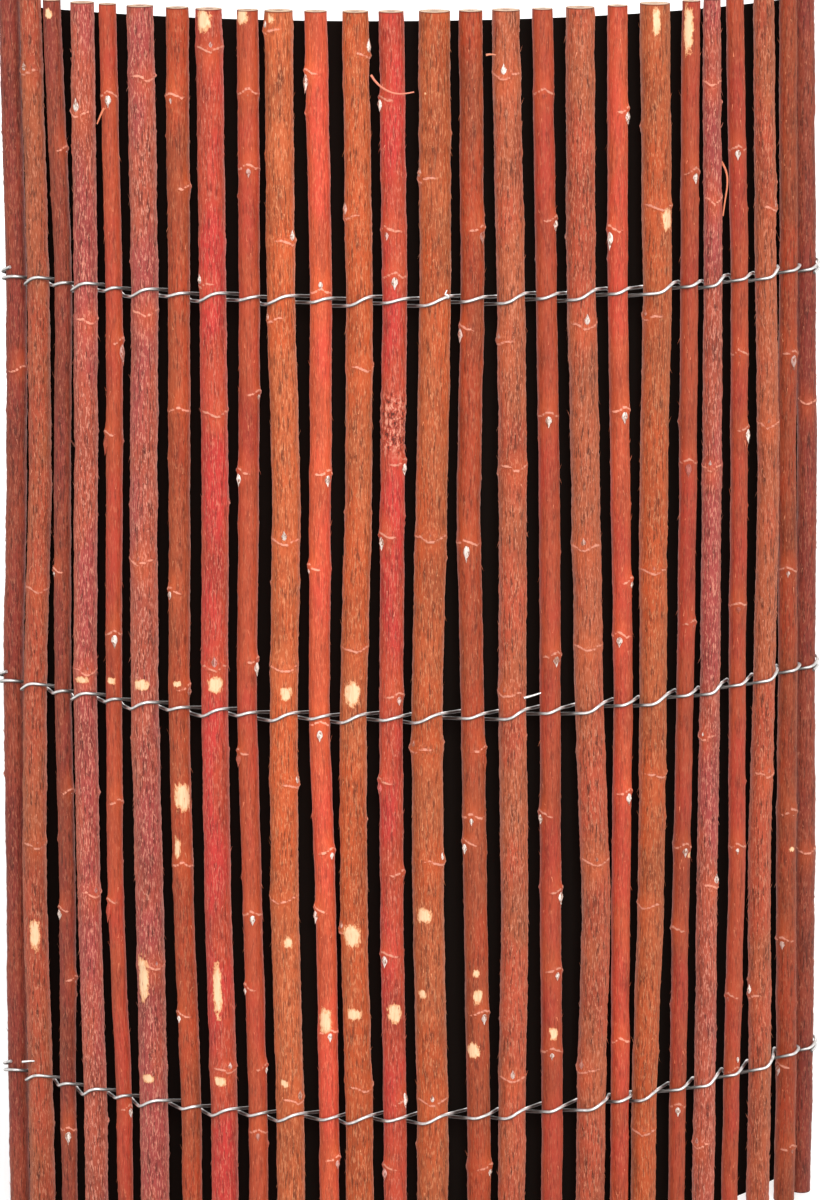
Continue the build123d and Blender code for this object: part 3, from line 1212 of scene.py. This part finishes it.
def wireMaterial():
    # zinc, bright and dull in worn patches; painted shade darkens its undersides and the stretches where it
    # passes between the rods
    material, tree, shader = newMaterial("galvanisedWire")
    place = addNode(tree, "ShaderNodeTexCoord").outputs["Object"]
    worn = stretchedNoise(tree, place, *wireSet["worn"])
    worn = ramp(tree, worn, *wireSet["wornFade"])
    colour = mixColours(tree, worn, wireSet["dull"], wireSet["bright"])
    # painted shade: darker where the wire's surface faces down
    facing = addNode(tree, "ShaderNodeSeparateXYZ")
    tree.links.new(addNode(tree, "ShaderNodeNewGeometry").outputs["Normal"], facing.inputs[0])
    underShade = ramp(tree, facing.outputs["Z"], *wireSet["underShadeFade"])
    colour = mixColours(tree, underShade, colour, wireSet["underShade"])
    # painted shade: darker where the wire runs near the rods' middle line, in the gaps between them
    axis = addNode(tree, "ShaderNodeVectorMath", operation="SUBTRACT")
    axis.inputs[1].default_value = (bowMiddle.x, bowMiddle.y, 0)
    tree.links.new(place, axis.inputs[0])
    flat = addNode(tree, "ShaderNodeVectorMath", operation="MULTIPLY")
    flat.inputs[1].default_value = (1, 1, 0)
    tree.links.new(axis.outputs[0], flat.inputs[0])
    reach = addNode(tree, "ShaderNodeVectorMath", operation="LENGTH")
    tree.links.new(flat.outputs[0], reach.inputs[0])
    off = calculate(tree, "SUBTRACT", reach.outputs["Value"], bowRadius)
    off = calculate(tree, "ABSOLUTE", off)
    between = ramp(tree, off, wireSet["gapShadeTo"], wireSet["gapShadeFrom"])
    colour = mixColours(tree, between, colour, wireSet["gapShade"])
    tree.links.new(colour, shader.inputs["Base Color"])
    setInputs(shader, wireSet["shader"])
    return material


def dressWires():
    galvanised = wireMaterial()
    for name in wireNames:
        wire = nodes[name]
        wire.data.materials.clear()
        wire.data.materials.append(galvanised)
    for number, (rod, spots) in enumerate(wireTails):
        tail = stripOf("wireTail%d" % (number + 1), rod, spots, wireSet["tail"], wireSet["tailLift"])
        bpy.ops.object.shade_smooth()
        tail.data.materials.clear()
        tail.data.materials.append(galvanised)
        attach(tail, "root")


for number, name in enumerate(rodNames):
    makeRod(name, number)
bpy.data.objects.remove(budPattern)
bpy.data.objects.remove(sliverPattern)
print("rods made")
dressWires()
print("wires dressed")


# stage

stageSet = {
    "floor": 16,
    "floorTone": (0.86, 0.86, 0.85),
    "floorRoughness": 0.8,
    "floorLift": 0.3,  # white added to the floor where it is seen, growing to 1 further off
    "fadeFrom": 0.5,
    "fadeTo": 2.2,
    # the backing is a sheet of painted shade behind the gaps between the rods
    "backing": 5.8 * mm,  # how far the dark sheet stands behind the rods' middles
    "backingMargin": 1.9,  # degrees past the end rods
    "backingShort": 6 * mm,
    "backingFaces": 360,  # round the whole of the bow's circle
    "backingTone": (0.008, 0.006, 0.005),
    "keyPlace": (0.02, -1.32, 1.1),
    "keySize": 0.9,
    "keyEnergy": 25.3,
    "fillPlace": (0.6, 1.4, 1.2),
    "fillSize": 1.2,
    "fillEnergy": 15,
    "worldLight": 0.42,
}


def seenDirectly(tree):
    # 1 for what the camera sees, also through glass or in a reflection
    path = addNode(tree, "ShaderNodeLightPath").outputs
    seen = calculate(tree, "MAXIMUM", path["Is Camera Ray"], path["Is Transmission Ray"])
    return calculate(tree, "MAXIMUM", seen, path["Is Glossy Ray"])


def layFloor():
    bpy.ops.object.select_all(action="DESELECT")
    bpy.ops.mesh.primitive_plane_add(size=stageSet["floor"])
    floor = bpy.context.object
    floor.name = "floor"
    material, tree, shader = newMaterial("paleFloor")
    setInputs(shader, {"Base Color": (*stageSet["floorTone"], 1), "Emission Color": (1, 1, 1, 1)})
    setInputs(shader, {"Roughness": stageSet["floorRoughness"]})
    distance = addNode(tree, "ShaderNodeVectorMath", operation="LENGTH")
    tree.links.new(addNode(tree, "ShaderNodeTexCoord").outputs["Object"], distance.inputs[0])
    fade = ramp(tree, distance.outputs["Value"], stageSet["fadeFrom"], stageSet["fadeTo"])
    fade = calculate(tree, "MULTIPLY_ADD", fade, 1 - stageSet["floorLift"])
    fade.node.inputs[2].default_value = stageSet["floorLift"]
    white = calculate(tree, "MULTIPLY", seenDirectly(tree), fade)
    tree.links.new(white, shader.inputs["Emission Strength"])
    floor.data.materials.append(material)


def hangBacking():
    # dark sheet behind the rods, seen only from the front, so that the gaps read dark as in the photograph
    # painted shade: the sheet stands in for the shadow that fills the gaps between the rods
    bpy.ops.object.select_all(action="DESELECT")
    bpy.ops.mesh.primitive_cylinder_add(
        vertices=stageSet["backingFaces"],
        radius=bowRadius - stageSet["backing"],
        depth=rodTop - stageSet["backingShort"],
        end_fill_type="NOTHING",
        location=(bowMiddle.x, bowMiddle.y, rodTop / 2),
    )
    sheet = bpy.context.object
    sheet.name = "paintedShadeBacking"
    angles = [math.atan2(foot.x - bowMiddle.x, bowMiddle.y - foot.y) for foot in feet]
    margin = math.radians(stageSet["backingMargin"])

    def outside(face):
        angle = math.atan2(face.center.x, -face.center.y)
        return not angles[0] - margin < angle < angles[-1] + margin

    selectFaces(sheet, outside)
    bpy.ops.mesh.delete(type="FACE")
    bpy.ops.object.mode_set(mode="OBJECT")
    material, tree, shader = newMaterial("paintedShadeSheet")
    tree.nodes.remove(shader)
    dark = addNode(tree, "ShaderNodeBsdfDiffuse")
    dark.inputs["Color"].default_value = (*stageSet["backingTone"], 1)
    clear = addNode(tree, "ShaderNodeBsdfTransparent")
    side = addNode(tree, "ShaderNodeNewGeometry")
    mix = addNode(tree, "ShaderNodeMixShader")
    tree.links.new(side.outputs["Backfacing"], mix.inputs[0])
    tree.links.new(dark.outputs[0], mix.inputs[1])
    tree.links.new(clear.outputs[0], mix.inputs[2])
    tree.links.new(mix.outputs[0], tree.nodes["Material Output"].inputs["Surface"])
    sheet.data.materials.append(material)
    sheet.visible_shadow = False
    sheet.visible_diffuse = False
    sheet.visible_glossy = False
    sheet.visible_transmission = False


def hangLamp(name, place, size, energy):
    bpy.ops.object.light_add(type="AREA", location=place)
    lamp = bpy.context.object
    lamp.name = name
    lamp.data.size = size
    lamp.data.energy = energy
    lamp.rotation_mode = "QUATERNION"
    lamp.rotation_quaternion = (Vector((0, 0, rodTop / 2)) - Vector(place)).to_track_quat("-Z", "Y")


def lightStage():
    hangLamp("keyLamp", stageSet["keyPlace"], stageSet["keySize"], stageSet["keyEnergy"])
    hangLamp("backLamp", stageSet["fillPlace"], stageSet["fillSize"], stageSet["fillEnergy"])
    world = bpy.data.worlds.new("softRoom")
    bpy.context.scene.world = world
    world.use_nodes = True
    tree = world.node_tree
    background = tree.nodes["Background"]
    background.inputs["Color"].default_value = (1, 1, 1, 1)
    strength = calculate(tree, "MULTIPLY_ADD", seenDirectly(tree), 1 - stageSet["worldLight"])
    strength.node.inputs[2].default_value = stageSet["worldLight"]
    tree.links.new(strength, background.inputs["Strength"])


layFloor()
hangBacking()
lightStage()
bpy.context.scene.view_settings.view_transform = "Standard"
print("stage set")
